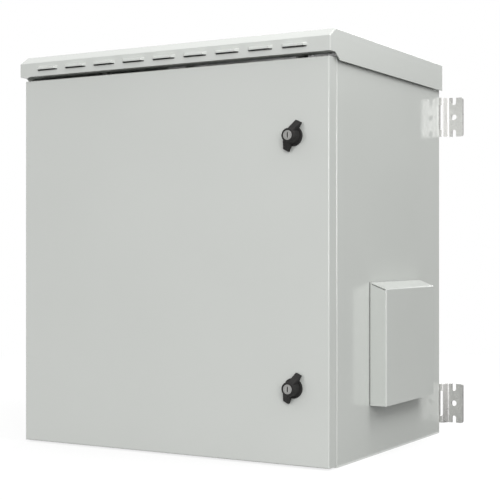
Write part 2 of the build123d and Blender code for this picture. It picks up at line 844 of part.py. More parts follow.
# Hood over the fan opening: sloped top, open below, flanged against the side panel
with BuildPart() as side_hood:
    slope_rate = hood_slope / (hood_front - hood_back)
    with BuildSketch(seen_from_front(hood_y + hood_width / 2)):
        with BuildLine():
            Polyline(
                (hood_back, hood_bottom),
                (hood_front, hood_bottom),
                (hood_front, hood_bottom + hood_height - hood_slope),
                (hood_back, hood_bottom + hood_height),
                close=True,
            )
        make_face()
    extrude(amount=hood_width)
    outer_edges = edges().filter_by(lambda edge: edge.center().X > hood_front - bore_fit)
    fillet(outer_edges.filter_by(lambda edge: edge.center().Z > hood_bottom + sheet), radius=hood_bend)
    open_faces = faces().sort_by(Axis.Z)[:1] + faces().sort_by(Axis.X)[:1]
    offset(amount=-sheet, openings=open_faces)
    with BuildSketch(seen_from_right(hood_back)):
        with Locations((hood_y, hood_middle)):
            Rectangle(hood_width, hood_height)
            Rectangle(hood_width - 2 * hood_flange, hood_height - 2 * hood_flange, mode=Mode.SUBTRACT)
    extrude(amount=sheet)
    # open seams where the sloped top meets the sides
    seam_start = hood_back + 2 * sheet
    seam_end = hood_front - hood_bend
    seam_high = hood_bottom + hood_height - sheet * 1.1
    with BuildSketch(seen_from_front(hood_y + hood_width / 2 + overrun)):
        with BuildLine():
            Polyline(
                (seam_start, seam_high - slope_rate * (seam_start - hood_back)),
                (seam_end, seam_high - slope_rate * (seam_end - hood_back)),
                (seam_end, seam_high - slope_rate * (seam_end - hood_back) - hood_seam),
                (seam_start, seam_high - slope_rate * (seam_start - hood_back) - hood_seam),
                close=True,
            )
        make_face()
    extrude(amount=hood_width + 2 * overrun, mode=Mode.SUBTRACT)
    # fixing studs welded to the flange
    with BuildSketch(seen_from_right(hood_back)):
        with Locations((hood_y, hood_middle)):
            with GridLocations(stud_pitch_y, stud_pitch_z, 2, 2):
                Circle(hood_stud_radius)
    extrude(amount=-(hood_seal_depth + sheet + hood_stud_end))
save(side_hood.part, "side_hood")

with BuildPart() as hood_seal:
    with BuildSketch(seen_from_right(half_width)):
        with Locations((hood_y, hood_middle)):
            Rectangle(hood_width, hood_height)
            Rectangle(hood_width - 2 * hood_flange, hood_height - 2 * hood_flange, mode=Mode.SUBTRACT)
            with GridLocations(stud_pitch_y, stud_pitch_z, 2, 2):
                Circle(hood_stud_radius + hole_fit, mode=Mode.SUBTRACT)
    extrude(amount=hood_seal_depth)
save(hood_seal.part, "hood_seal")

with BuildPart() as hood_nuts:
    with BuildSketch(seen_from_right(panel_inside)):
        with Locations((hood_y, hood_middle)):
            with GridLocations(stud_pitch_y, stud_pitch_z, 2, 2):
                RegularPolygon(hood_nut_radius, 6)
                Circle(hood_stud_radius + bore_fit, mode=Mode.SUBTRACT)
    extrude(amount=-hood_nut_depth)
save(hood_nuts.part, "hood_nuts")

# Filter mat, fan and finger guard, stacked on the inside of the side panel
with BuildPart() as filter_mat:
    with BuildSketch(seen_from_right(filter_inside)):
        with Locations((hood_y, fan_z)):
            Rectangle(fan_size, fan_size)
            with GridLocations(fan_hole_pitch, fan_hole_pitch, 2, 2):
                Circle(fan_screw_radius + hole_fit, mode=Mode.SUBTRACT)
    extrude(amount=filter_depth)
save(filter_mat.part, "filter_mat")

with BuildPart() as fan_housing:
    with BuildSketch(seen_from_right(fan_inside)):
        with Locations((hood_y, fan_z)):
            RectangleRounded(fan_size, fan_size, bend)
            Circle(fan_bore_radius, mode=Mode.SUBTRACT)
            with GridLocations(fan_hole_pitch, fan_hole_pitch, 2, 2):
                Circle(fan_screw_radius + hole_fit, mode=Mode.SUBTRACT)
    extrude(amount=fan_depth)
    # struts and shaft that carry the rotor
    with BuildSketch(seen_from_right(filter_inside)):
        with Locations((hood_y, fan_z)):
            Circle(fan_hub_radius)
            Rectangle(2 * fan_bore_radius + sheet, fan_strut_width)
            Rectangle(fan_strut_width, 2 * fan_bore_radius + sheet)
    extrude(amount=-fan_strut_depth)
    with BuildSketch(seen_from_right(filter_inside)):
        with Locations((hood_y, fan_z)):
            Circle(fan_shaft_radius)
    extrude(amount=-(fan_depth - fan_strut_depth))
save(fan_housing.part, "fan_housing")

rotor_length = fan_depth - 2 * fan_strut_depth
rotor_plane = Plane(
    origin=(fan_inside + fan_strut_depth - slide_gap, hood_y, fan_z), x_dir=(0, 1, 0), z_dir=(1, 0, 0)
)


# One blade, with the axis of the rotor along Z: a curved section that flattens from hub to tip
def blade_section(radius, reach, sweep):
    with BuildSketch(Plane(origin=(radius, 0, 0), x_dir=(0, 0, 1), z_dir=(1, 0, 0))) as section:
        with BuildLine():
            SagittaArc((-reach / 2, -sweep / 2), (reach / 2, sweep / 2), fan_blade_camber)
            offset(amount=fan_blade_depth, side=Side.LEFT)
        make_face()
    return section.sketch


root_section = blade_section(fan_hub_radius - fan_hub_round, fan_root_reach, fan_root_sweep)
tip_section = blade_section(fan_blade_radius, fan_tip_reach, fan_tip_sweep)
with BuildPart() as fan_blade:
    loft([root_section, tip_section])

with BuildPart() as fan_rotor:
    with BuildSketch(rotor_plane):
        Circle(fan_hub_radius)
    extrude(amount=rotor_length)
    fillet(edges().group_by(Axis.X)[0], radius=fan_hub_round)
    with Locations(rotor_plane.offset(rotor_length / 2)):
        with PolarLocations(0, fan_blade_count):
            add(fan_blade.part)
    with BuildSketch(rotor_plane):
        Circle(fan_shaft_radius + bore_fit)
    extrude(amount=rotor_length, mode=Mode.SUBTRACT)
save(fan_rotor.part, "fan_rotor")

with BuildPart() as fan_guard:
    with BuildSketch(seen_from_right(guard_inside)):
        with Locations((hood_y, fan_z)):
            RectangleRounded(fan_size, fan_size, bend)
            with GridLocations(0, guard_slot_pitch, 1, guard_slot_count):
                Rectangle(guard_slot_length, guard_slot_width, mode=Mode.SUBTRACT)
            with GridLocations(fan_hole_pitch, fan_hole_pitch, 2, 2):
                Circle(fan_screw_radius + hole_fit, mode=Mode.SUBTRACT)
    extrude(amount=guard_depth)
save(fan_guard.part, "fan_guard")

with BuildPart() as fan_screws:
    with BuildSketch(seen_from_right(guard_inside)):
        with Locations((hood_y, fan_z)):
            with GridLocations(fan_hole_pitch, fan_hole_pitch, 2, 2):
                Circle(fan_screw_radius)
    extrude(amount=half_width - guard_inside + fan_nut_depth)
    with BuildSketch(seen_from_right(guard_inside)):
        with Locations((hood_y, fan_z)):
            with GridLocations(fan_hole_pitch, fan_hole_pitch, 2, 2):
                Circle(fan_head_radius)
    extrude(amount=-fan_head_depth)
save(fan_screws.part, "fan_screws")

with BuildPart() as fan_nuts:
    with BuildSketch(seen_from_right(half_width)):
        with Locations((hood_y, fan_z)):
            with GridLocations(fan_hole_pitch, fan_hole_pitch, 2, 2):
                RegularPolygon(fan_nut_radius, 6)
                Circle(fan_screw_radius + bore_fit, mode=Mode.SUBTRACT)
    extrude(amount=fan_nut_depth)
save(fan_nuts.part, "fan_nuts")


# Wall brackets: bolted behind the body, stepped back to the wall, with a strap slot for a pole
def right_bracket(level):
    with BuildPart() as bracket:
        with BuildSketch(seen_from_above(level - bracket_height / 2)):
            with BuildLine():
                FilletPolyline(
                    (half_width - bracket_tail, rear),
                    (half_width + bracket_step_start, rear),
                    (half_width + bracket_step_end, wall_flange_y),
                    (half_width + bracket_reach, wall_flange_y),
                    radius=bracket_bend,
                )
                offset(amount=bracket_sheet, side=Side.LEFT)
            make_face()
        extrude(amount=bracket_height)
        ends = edges().filter_by(Axis.Y).filter_by(
            lambda edge: edge.center().X > half_width + bracket_reach - bore_fit
        )
        fillet(ends, radius=bracket_corner)
        with BuildSketch(seen_from_front(wall_plane + overrun)):
            with Locations((half_width + slide_gap, level)):
                RectangleRounded(
                    strap_slot_width, strap_slot_height, strap_slot_corner, align=(Align.MIN, Align.CENTER)
                )
            with Locations((wall_hole_x, level)):
                Circle(wall_hole_radius)
            with Locations(
                (wall_hole_x, level - bracket_height / 2), (wall_hole_x, level + bracket_height / 2)
            ):
                SlotOverall(2 * notch_depth, notch_width, rotation=90)
            with Locations((bracket_bolt_x, level)):
                with GridLocations(0, bracket_bolt_pitch, 1, 2):
                    Circle(bracket_bolt_radius + hole_fit)
        extrude(amount=bracket_step + bracket_sheet + 2 * overrun, mode=Mode.SUBTRACT)
    return bracket.part


for place, level in bracket_levels.items():
    bracket_blank = right_bracket(level)
    with BuildPart() as right_wall_bracket:
        add(bracket_blank)
    save(right_wall_bracket.part, place + "_right_wall_bracket")

    with BuildPart() as left_wall_bracket:
        add(mirror(bracket_blank, about=Plane.YZ, mode=Mode.PRIVATE))
    save(left_wall_bracket.part, place + "_left_wall_bracket")

bracket_bolt_places = [
    (turn * bracket_bolt_x, level) for turn in (-1, 1) for level in bracket_bolt_levels
]
bracket_back = rear + bracket_sheet
panel_face = rear - 2 * sheet

with BuildPart() as bracket_bolts:
    with BuildSketch(seen_from_front(bracket_back)):
        with Locations(bracket_bolt_places):
            Circle(bracket_bolt_radius)
    extrude(amount=bracket_back - panel_face + bracket_nut_depth + bracket_bolt_radius)
    with BuildSketch(seen_from_front(bracket_back)):
        with Locations(bracket_bolt_places):
            RegularPolygon(bracket_head_radius, 6)
    extrude(amount=-bracket_head_depth)
save(bracket_bolts.part, "bracket_bolts")

with BuildPart() as bracket_nuts:
    with BuildSketch(seen_from_front(panel_face)):
        with Locations(bracket_bolt_places):
            RegularPolygon(bracket_head_radius, 6)
            Circle(bracket_bolt_radius + bore_fit, mode=Mode.SUBTRACT)
    extrude(amount=bracket_nut_depth)
save(bracket_nuts.part, "bracket_nuts")

# Cable entry: a plate over the cut-out in the base, with closed membrane grommets
with BuildPart() as gland_plate:
    with BuildSketch(seen_from_above(sheet)):
        with Locations((0, gland_y)):
            Rectangle(gland_cut_width + 2 * gland_margin, gland_cut_depth + 2 * gland_margin)
            with GridLocations(grommet_pitch, 0, grommet_count, 1):
                Circle(grommet_radius + bore_fit, mode=Mode.SUBTRACT)
            with GridLocations((gland_cut_width + gland_margin) / 2, gland_cut_depth + gland_margin, 3, 2):
                Circle(gland_screw_radius + hole_fit, mode=Mode.SUBTRACT)
    extrude(amount=gland_sheet)
save(gland_plate.part, "gland_plate")

with BuildPart() as cable_grommets:
    with BuildSketch(seen_from_above(sheet - grommet_lower)):
        with Locations((0, gland_y)):
            with GridLocations(grommet_pitch, 0, grommet_count, 1):
                Circle(grommet_radius + grommet_rim)
    extrude(amount=grommet_lower)
    with BuildSketch(seen_from_above(sheet)):
        with Locations((0, gland_y)):
            with GridLocations(grommet_pitch, 0, grommet_count, 1):
                Circle(grommet_radius)
    extrude(amount=gland_sheet)
    with BuildSketch(seen_from_above(sheet + gland_sheet)):
        with Locations((0, gland_y)):
            with GridLocations(grommet_pitch, 0, grommet_count, 1):
                Circle(grommet_radius + grommet_rim)
    extrude(amount=grommet_upper)
    with BuildSketch(seen_from_above(sheet + gland_sheet + grommet_upper)):
        with Locations((0, gland_y)):
            with GridLocations(grommet_pitch, 0, grommet_count, 1):
                Circle(grommet_radius)
    extrude(amount=grommet_cone, taper=grommet_taper)
save(cable_grommets.part, "cable_grommets")

with BuildPart() as gland_screws:
    with BuildSketch(seen_from_above(bore_fit)):
        with Locations((0, gland_y)):
            with GridLocations((gland_cut_width + gland_margin) / 2, gland_cut_depth + gland_margin, 3, 2):
                Circle(gland_screw_radius)
    extrude(amount=sheet + gland_sheet - bore_fit)
    with BuildSketch(seen_from_above(sheet + gland_sheet)):
        with Locations((0, gland_y)):
            with GridLocations((gland_cut_width + gland_margin) / 2, gland_cut_depth + gland_margin, 3, 2):
                Circle(gland_head_radius)
    extrude(amount=gland_head_depth)
save(gland_screws.part, "gland_screws")

with BuildPart() as earth_stud:
    with BuildSketch(seen_from_above(bore_fit)):
        with Locations((earth_x, earth_y)):
            Circle(earth_radius)
    extrude(amount=earth_height)
save(earth_stud.part, "earth_stud")

with BuildPart() as earth_nut:
    with BuildSketch(seen_from_above(sheet)):
        with Locations((earth_x, earth_y)):
            RegularPolygon(earth_nut_radius, 6)
            Circle(earth_radius + bore_fit, mode=Mode.SUBTRACT)
    extrude(amount=earth_nut_depth)
save(earth_nut.part, "earth_nut")
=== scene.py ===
import json
import math

import bmesh
import bpy
from mathutils import Matrix, Vector, noise


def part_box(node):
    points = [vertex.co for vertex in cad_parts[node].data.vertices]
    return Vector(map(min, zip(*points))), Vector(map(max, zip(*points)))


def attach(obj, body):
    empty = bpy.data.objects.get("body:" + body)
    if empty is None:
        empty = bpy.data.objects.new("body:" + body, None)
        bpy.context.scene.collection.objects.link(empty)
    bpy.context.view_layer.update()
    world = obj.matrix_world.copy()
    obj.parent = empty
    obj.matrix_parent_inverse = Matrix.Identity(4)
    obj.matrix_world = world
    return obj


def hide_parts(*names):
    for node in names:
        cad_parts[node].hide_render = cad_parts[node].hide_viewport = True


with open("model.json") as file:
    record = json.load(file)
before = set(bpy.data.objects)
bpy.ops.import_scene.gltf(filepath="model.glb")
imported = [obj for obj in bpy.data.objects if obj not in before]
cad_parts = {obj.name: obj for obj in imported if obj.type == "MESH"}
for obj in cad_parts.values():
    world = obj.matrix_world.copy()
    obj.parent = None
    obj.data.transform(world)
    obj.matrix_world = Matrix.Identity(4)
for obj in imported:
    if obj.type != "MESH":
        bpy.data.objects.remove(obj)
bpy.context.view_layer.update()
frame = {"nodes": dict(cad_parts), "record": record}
nodes = frame["nodes"]
nodeSlot = {part["node"]: part["material_slot"] for part in frame["record"]["subparts"]}
nodeBody = {name: body for body, names in frame["record"]["behaviour"]["bodies"].items() for name in names}
print("frame loaded with", len(nodes), "nodes")


# small helpers for node trees

nodeStep = 200  # spacing in the node editor


def wire(tree, source, target):
    tree.links.new(source, target)


# joins a socket to another, or sets a plain number or colour on it
def feed(tree, value, socket):
    if hasattr(value, "is_linked"):
        wire(tree, value, socket)
    elif isinstance(value, tuple):
        socket.default_value = (*value, 1.0)
    else:
        socket.default_value = value


def addNode(tree, kind, **settings):
    node = tree.nodes.new(kind)
    node.location = (nodeStep * len(tree.nodes), 0)
    for key, value in settings.items():
        setattr(node, key, value)
    return node


def newGroup(name, colours, values):
    group = bpy.data.node_groups.new(name, "ShaderNodeTree")
    for label in colours:
        group.interface.new_socket(label, in_out="INPUT", socket_type="NodeSocketColor")
    for label in values:
        group.interface.new_socket(label, in_out="INPUT", socket_type="NodeSocketFloat")
    group.interface.new_socket("Color", in_out="OUTPUT", socket_type="NodeSocketColor")
    for label in ("Roughness", "Height"):
        group.interface.new_socket(label, in_out="OUTPUT", socket_type="NodeSocketFloat")
    return group, addNode(group, "NodeGroupInput").outputs, addNode(group, "NodeGroupOutput").inputs


def mixColour(tree, factor, first, second):
    # the colour sockets are inputs 6 and 7 and output 2
    mix = addNode(tree, "ShaderNodeMix", data_type="RGBA")
    wire(tree, factor, mix.inputs[0])
    feed(tree, first, mix.inputs[6])
    feed(tree, second, mix.inputs[7])
    return mix.outputs[2]


def mapRange(tree, value, span, target):
    ramp = addNode(tree, "ShaderNodeMapRange", clamp=True)
    wire(tree, value, ramp.inputs[0])
    for index, number in enumerate((*span, *target), start=1):
        ramp.inputs[index].default_value = number
    return ramp.outputs[0]


def maths(tree, operation, first, second):
    node = addNode(tree, "ShaderNodeMath", operation=operation)
    feed(tree, first, node.inputs[0])
    feed(tree, second, node.inputs[1])
    return node.outputs[0]


def cloudNoise(tree, place, scale, detail):
    cloud = addNode(tree, "ShaderNodeTexNoise")
    wire(tree, place, cloud.inputs["Vector"])
    feed(tree, scale, cloud.inputs["Scale"])
    cloud.inputs["Detail"].default_value = detail
    return cloud.outputs["Fac"]


def cellNoise(tree, place, size, feature):
    cells = addNode(tree, "ShaderNodeTexVoronoi", feature=feature)
    wire(tree, place, cells.inputs["Vector"])
    wire(tree, maths(tree, "DIVIDE", 1.0, size), cells.inputs["Scale"])
    return cells


# powder coat: soft orange peel about a millimetre across, with a faint drift in gloss and tone
def powderCoatGroup():
    coat = {"peelDetail": 1.5, "driftScale": 5.0, "driftDetail": 4.0, "driftShare": 0.6, "speckScale": 1400.0,
            "speckDetail": 2.0, "speckShare": 0.4, "band": (0.3, 0.7), "glossDrift": (-0.02, 0.03)}
    group, enter, leave = newGroup("powderCoat", ("Tone", "Shade"), ("Peel Size", "Gloss"))
    place = addNode(group, "ShaderNodeTexCoord").outputs["Object"]
    peel = cloudNoise(group, place, maths(group, "DIVIDE", 1.0, enter["Peel Size"]), coat["peelDetail"])
    drift = cloudNoise(group, place, coat["driftScale"], coat["driftDetail"])
    speck = cloudNoise(group, place, coat["speckScale"], coat["speckDetail"])
    blend = maths(group, "ADD", maths(group, "MULTIPLY", speck, coat["speckShare"]),
                  maths(group, "MULTIPLY", drift, coat["driftShare"]))
    shade = mapRange(group, blend, coat["band"], (0.0, 1.0))
    wire(group, mixColour(group, shade, enter["Shade"], enter["Tone"]), leave["Color"])
    dull = mapRange(group, drift, coat["band"], coat["glossDrift"])
    wire(group, maths(group, "ADD", enter["Gloss"], dull), leave["Roughness"])
    wire(group, peel, leave["Height"])
    return group


# zinc plate: fine rolling lines crossed by pale crystal patches
def zincGroup():
    zinc = {"stretch": (40.0, 40.0, 1600.0), "lineScale": 1.0, "lineDetail": 3.0, "lineShare": 0.55,
            "patchShare": 0.45, "band": (0.2, 0.75), "glossDrift": (0.06, -0.05)}
    group, enter, leave = newGroup("zincPlate", ("Tone", "Deep"), ("Patch Size", "Gloss"))
    place = addNode(group, "ShaderNodeTexCoord").outputs["Object"]
    patch = addNode(group, "ShaderNodeSeparateColor")
    wire(group, cellNoise(group, place, enter["Patch Size"], "F1").outputs["Color"], patch.inputs[0])
    stretch = addNode(group, "ShaderNodeMapping")
    stretch.inputs["Scale"].default_value = zinc["stretch"]
    wire(group, place, stretch.inputs["Vector"])
    lines = cloudNoise(group, stretch.outputs["Vector"], zinc["lineScale"], zinc["lineDetail"])
    blend = maths(group, "ADD", maths(group, "MULTIPLY", patch.outputs[0], zinc["patchShare"]),
                  maths(group, "MULTIPLY", lines, zinc["lineShare"]))
    bright = mapRange(group, blend, zinc["band"], (0.0, 1.0))
    wire(group, mixColour(group, bright, enter["Deep"], enter["Tone"]), leave["Color"])
    dull = mapRange(group, blend, zinc["band"], zinc["glossDrift"])
    wire(group, maths(group, "ADD", enter["Gloss"], dull), leave["Roughness"])
    wire(group, lines, leave["Height"])
    return group


# moulded grain: shallow leather-like pits on plastic, rubber and fleece
def mouldGrainGroup():
    grain = {"driftScale": 90.0, "driftDetail": 5.0, "wornBand": (0.45, 0.75), "band": (0.3, 0.7),
             "glossDrift": (0.05, -0.05)}
    group, enter, leave = newGroup("mouldGrain", ("Tone", "Worn"), ("Grain Size", "Gloss"))
    place = addNode(group, "ShaderNodeTexCoord").outputs["Object"]
    pits = cellNoise(group, place, enter["Grain Size"], "SMOOTH_F1")
    drift = cloudNoise(group, place, grain["driftScale"], grain["driftDetail"])
    worn = mapRange(group, drift, grain["wornBand"], (0.0, 1.0))
    wire(group, mixColour(group, worn, enter["Tone"], enter["Worn"]), leave["Color"])
    dull = mapRange(group, drift, grain["band"], grain["glossDrift"])
    wire(group, maths(group, "ADD", enter["Gloss"], dull), leave["Roughness"])
    wire(group, pits.outputs["Distance"], leave["Height"])
    return group


powderCoat = powderCoatGroup()
zincPlate = zincGroup()
mouldGrain = mouldGrainGroup()


def finishMaterial(name, group, values, metallic=0.0, specular=0.5, bump=0.1, depth=0.0002):
    material = bpy.data.materials.new(name)
    material.use_nodes = True
    tree = material.node_tree
    surface = tree.nodes["Principled BSDF"]
    surface.inputs["Metallic"].default_value = metallic
    surface.inputs["Specular IOR Level"].default_value = specular
    skin = addNode(tree, "ShaderNodeGroup", node_tree=group)
    for label, value in values.items():
        feed(tree, value, skin.inputs[label])
    relief = addNode(tree, "ShaderNodeBump")
    relief.inputs["Strength"].default_value = bump
    relief.inputs["Distance"].default_value = depth
    wire(tree, skin.outputs["Color"], surface.inputs["Base Color"])
    wire(tree, skin.outputs["Roughness"], surface.inputs["Roughness"])
    wire(tree, skin.outputs["Height"], relief.inputs["Height"])
    wire(tree, relief.outputs["Normal"], surface.inputs["Normal"])
    return material


greyPaint = finishMaterial(
    "greyPaint", powderCoat,
    {"Tone": (0.605, 0.625, 0.598), "Shade": (0.585, 0.605, 0.578), "Gloss": 0.13, "Peel Size": 0.0012},
    specular=1.0, bump=0.05, depth=0.00015)

zincSteel = finishMaterial(
    "zincSteel", zincPlate,
    {"Tone": (0.78, 0.775, 0.76), "Deep": (0.72, 0.715, 0.7), "Gloss": 0.32, "Patch Size": 0.004},
    metallic=0.9, bump=0.03, depth=0.00006)

knobPlastic = finishMaterial(
    "knobPlastic", mouldGrain,
    {"Tone": (0.026, 0.0256, 0.025), "Worn": (0.036, 0.035, 0.034), "Gloss": 0.62, "Grain Size": 0.0007},
    specular=0.15, bump=0.12, depth=0.00012)

fanPlastic = finishMaterial(
    "fanPlastic", mouldGrain,
    {"Tone": (0.02, 0.02, 0.021), "Worn": (0.035, 0.035, 0.036), "Gloss": 0.5, "Grain Size": 0.0009},
    bump=0.15, depth=0.00015)

sealRubber = finishMaterial(
    "sealRubber", mouldGrain,
    {"Tone": (0.02, 0.02, 0.02), "Worn": (0.04, 0.04, 0.04), "Gloss": 0.75, "Grain Size": 0.0012},
    specular=0.3, bump=0.3, depth=0.0003)

filterFleece = finishMaterial(
    "filterFleece", mouldGrain,
    {"Tone": (0.72, 0.72, 0.69), "Worn": (0.55, 0.55, 0.52), "Gloss": 0.9, "Grain Size": 0.0025},
    specular=0.2, bump=0.8, depth=0.0012)

keyNickel = finishMaterial(
    "keyNickel", zincPlate,
    {"Tone": (0.4, 0.4, 0.39), "Deep": (0.32, 0.32, 0.31), "Gloss": 0.34, "Patch Size": 0.0012},
    metallic=1.0, bump=0.05, depth=0.00005)

earthBrass = finishMaterial(
    "earthBrass", zincPlate,
    {"Tone": (0.72, 0.56, 0.28), "Deep": (0.6, 0.45, 0.2), "Gloss": 0.3, "Patch Size": 0.002},
    metallic=1.0, bump=0.05, depth=0.00005)

slotFinish = {
    "grey_paint": greyPaint, "zinc_steel": zincSteel, "black_plastic": knobPlastic, "nickel": keyNickel,
    "black_rubber": sealRubber, "filter_fleece": filterFleece, "brass": earthBrass,
}
for name, node in nodes.items():
    finish = slotFinish[nodeSlot[name]]
    if name.startswith("fan_") and finish is knobPlastic:
        finish = fanPlastic
    node.data.materials.clear()
    node.data.materials.append(finish)
print("finishes given to the cabinet's own parts")


# small parts made as meshes, each set where its solid is

# low and high corner of each separate solid in a group
def solidBoxes(name):
    weld = 0.00001
    work = bmesh.new()
    work.from_mesh(nodes[name].data)
    bmesh.ops.remove_doubles(work, verts=work.verts, dist=weld)
    waiting, boxes = set(work.verts), []
    while waiting:
        spots, front = [], [waiting.pop()]
        while front:
            vert = front.pop()
            spots.append(vert.co.copy())
            fresh = {link.other_vert(vert) for link in vert.link_edges} & waiting
            waiting -= fresh
            front.extend(fresh)
        low = Vector([min(spot[i] for spot in spots) for i in range(3)])
        high = Vector([max(spot[i] for spot in spots) for i in range(3)])
        boxes.append((low, high))
    work.free()
    return sorted(boxes, key=lambda box: [round(value, 4) for value in box[0]])


def evenAngles(count):
    return [2 * math.pi * i / count for i in range(count)]


# rings hold a (radius, height) for each angle
def circleRing(angles, radius, height):
    return [(radius, height)] * len(angles)


def hexCorner(flat):
    return flat / math.cos(math.pi / 6) / 2


# six-sided ring; with a chamfer circle its corners drop as a turned bevel does
def hexRing(angles, radius, height, bevelFrom=None, turn=1):
    bevelSlope = 0.577
    ring = []
    for angle in angles:
        reach = radius * math.cos(math.pi / 6) / math.cos(angle % (math.pi / 3) - math.pi / 6)
        drop = 0.0 if bevelFrom is None else max(0.0, reach - bevelFrom) * bevelSlope
        ring.append((reach, height - turn * drop))
    return ring


# recess outline with straight arms: two arms are a keyway, four a cross
def armRing(angles, reach, halfWidth, height, arms):
    tiny = 0.0001
    ring = []
    for angle in angles:
        part = angle % (2 * math.pi / arms)
        part = min(part, 2 * math.pi / arms - part)
        side = halfWidth / max(math.sin(part), tiny)
        ring.append((min(reach / max(math.cos(part), tiny), side), height))
    return ring


def armAngles(count, reach, halfWidth, arms):
    corner = math.atan2(halfWidth, reach)
    angles = set(round(angle, 6) for angle in evenAngles(count))
    for i in range(arms):
        angles |= {round((2 * math.pi * i / arms + side * corner) % (2 * math.pi), 6) for side in (-1, 1)}
    return sorted(angles)


# a V-shaped thread, fading out at both ends
def threadRings(angles, radius, top, length, pitch):
    thread = {"rowsInTurn": 4, "leastRows": 8, "fadeRows": 4, "depth": 0.5}
    rows = max(thread["leastRows"], round(length / pitch * thread["rowsInTurn"]))
    rings = []
    for row in range(rows + 1):
        height = top - length * row / rows
        fadeIn = min(1.0, row / thread["fadeRows"], (rows - row) / thread["fadeRows"])
        ring = []
        for angle in angles:
            wave = (height / pitch + angle / (2 * math.pi)) % 1.0
            ring.append((radius - fadeIn * pitch * thread["depth"] * (1 - abs(2 * wave - 1)), height))
        rings.append(ring)
    return rings


# closed turned body from rings, top first; a hollow one closes on itself
def turnedBody(angles, rings, hollow=False):
    count, rows = len(angles), len(rings)
    verts = [(radius * math.cos(angle), radius * math.sin(angle), height)
             for ring in rings for (radius, height), angle in zip(ring, angles)]
    faces = []
    for i in range(count):
        j = (i + 1) % count
        for row in range(rows if hollow else rows - 1):
            a, b = row * count, (row + 1) % rows * count
            faces.append((a + i, b + i, b + j, a + j))
    if not hollow:
        verts += [(0, 0, rings[0][0][1]), (0, 0, rings[-1][0][1])]
        last = (rows - 1) * count
        for i in range(count):
            j = (i + 1) % count
            faces += [(len(verts) - 2, i, j), (last + i, len(verts) - 1, last + j)]
    return verts, faces


def standing(at, axis, across):
    up, side = Vector(axis).normalized(), Vector(across).normalized()
    turn = Matrix((side, up.cross(side), up)).transposed().to_4x4()
    return Matrix.Translation(at) @ turn


# one piece from copies of a shape, smooth but for its hard edges
def newPiece(name, shape, places, node, sharp=32.0):
    verts, faces, shift = [], [], 0
    for place in places:
        verts += [place @ Vector(spot) for spot in shape[0]]
        faces += [[shift + index for index in face] for face in shape[1]]
        shift = len(verts)
    mesh = bpy.data.meshes.new(name)
    mesh.from_pydata(verts, [], faces)
    mesh.polygons.foreach_set("use_smooth", [True] * len(mesh.polygons))
    mesh.set_sharp_from_angle(angle=math.radians(sharp))
    slot = nodeSlot[node]
    mesh.materials.append(slotFinish[slot])
    piece = bpy.data.objects.new(name, mesh)
    bpy.context.collection.objects.link(piece)
    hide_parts(node)
    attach(piece, nodeBody[node])


# a copy on each solid of the node, its head along the axis, or towards the middle where the axis is None;
# the seat lies a head's depth below the solid's end
def turnedSet(name, node, shape, head, axis, across):
    places = []
    for low, high in solidBoxes(node):
        middle = (low + high) / 2
        way = Vector(axis) if axis else Vector((-1 if middle.x > 0 else 1, 0, 0))
        half = abs((high - low).dot(way)) / 2
        places.append(standing(middle + way * (half - head), way, across))
    newPiece(name, shape, places, node)


def fastenerSet(node, shape, head, axis, across):
    first, *rest = node.split("_")
    turnedSet(first + "".join(word.capitalize() for word in rest), node, shape, head, axis, across)


# hexagon head with a chamfered top and a washer face
def hexBolt(size):
    bolt = {"sides": 48, "face": 0.47, "washer": 0.485, "washerDepth": 0.0003, "neck": 0.0008, "ends": 0.0014,
            "tip": 0.8}
    angles = evenAngles(bolt["sides"])
    face, washer, shank = size["flat"] * bolt["face"], size["flat"] * bolt["washer"], size["shank"]
    rings = [
        circleRing(angles, face, size["head"]),
        hexRing(angles, hexCorner(size["flat"]), size["head"], face),
        hexRing(angles, hexCorner(size["flat"]), bolt["washerDepth"]),
        circleRing(angles, washer, bolt["washerDepth"]),
        circleRing(angles, washer, 0.0),
        circleRing(angles, shank, 0.0),
    ]
    rings += threadRings(angles, shank, -bolt["neck"], size["length"] - bolt["ends"], size["pitch"])
    rings.append(circleRing(angles, shank * bolt["tip"], -size["length"]))
    return turnedBody(angles, rings)


# hexagon nut chamfered on both faces and at both ends of its bore
def hexNut(size):
    nut = {"sides": 48, "face": 0.47, "bevel": 0.12}
    angles = evenAngles(nut["sides"])
    face, corner = size["flat"] * nut["face"], hexCorner(size["flat"])
    bore, depth = size["shank"], size["depth"]
    bevel = bore * nut["bevel"]
    rings = [
        circleRing(angles, bore + bevel, depth),
        circleRing(angles, face, depth),
        hexRing(angles, corner, depth, face),
        hexRing(angles, corner, 0.0, face, -1),
        circleRing(angles, face, 0.0),
        circleRing(angles, bore + bevel, 0.0),
        circleRing(angles, bore, bevel),
        circleRing(angles, bore, depth - bevel),
    ]
    return turnedBody(angles, rings, hollow=True)


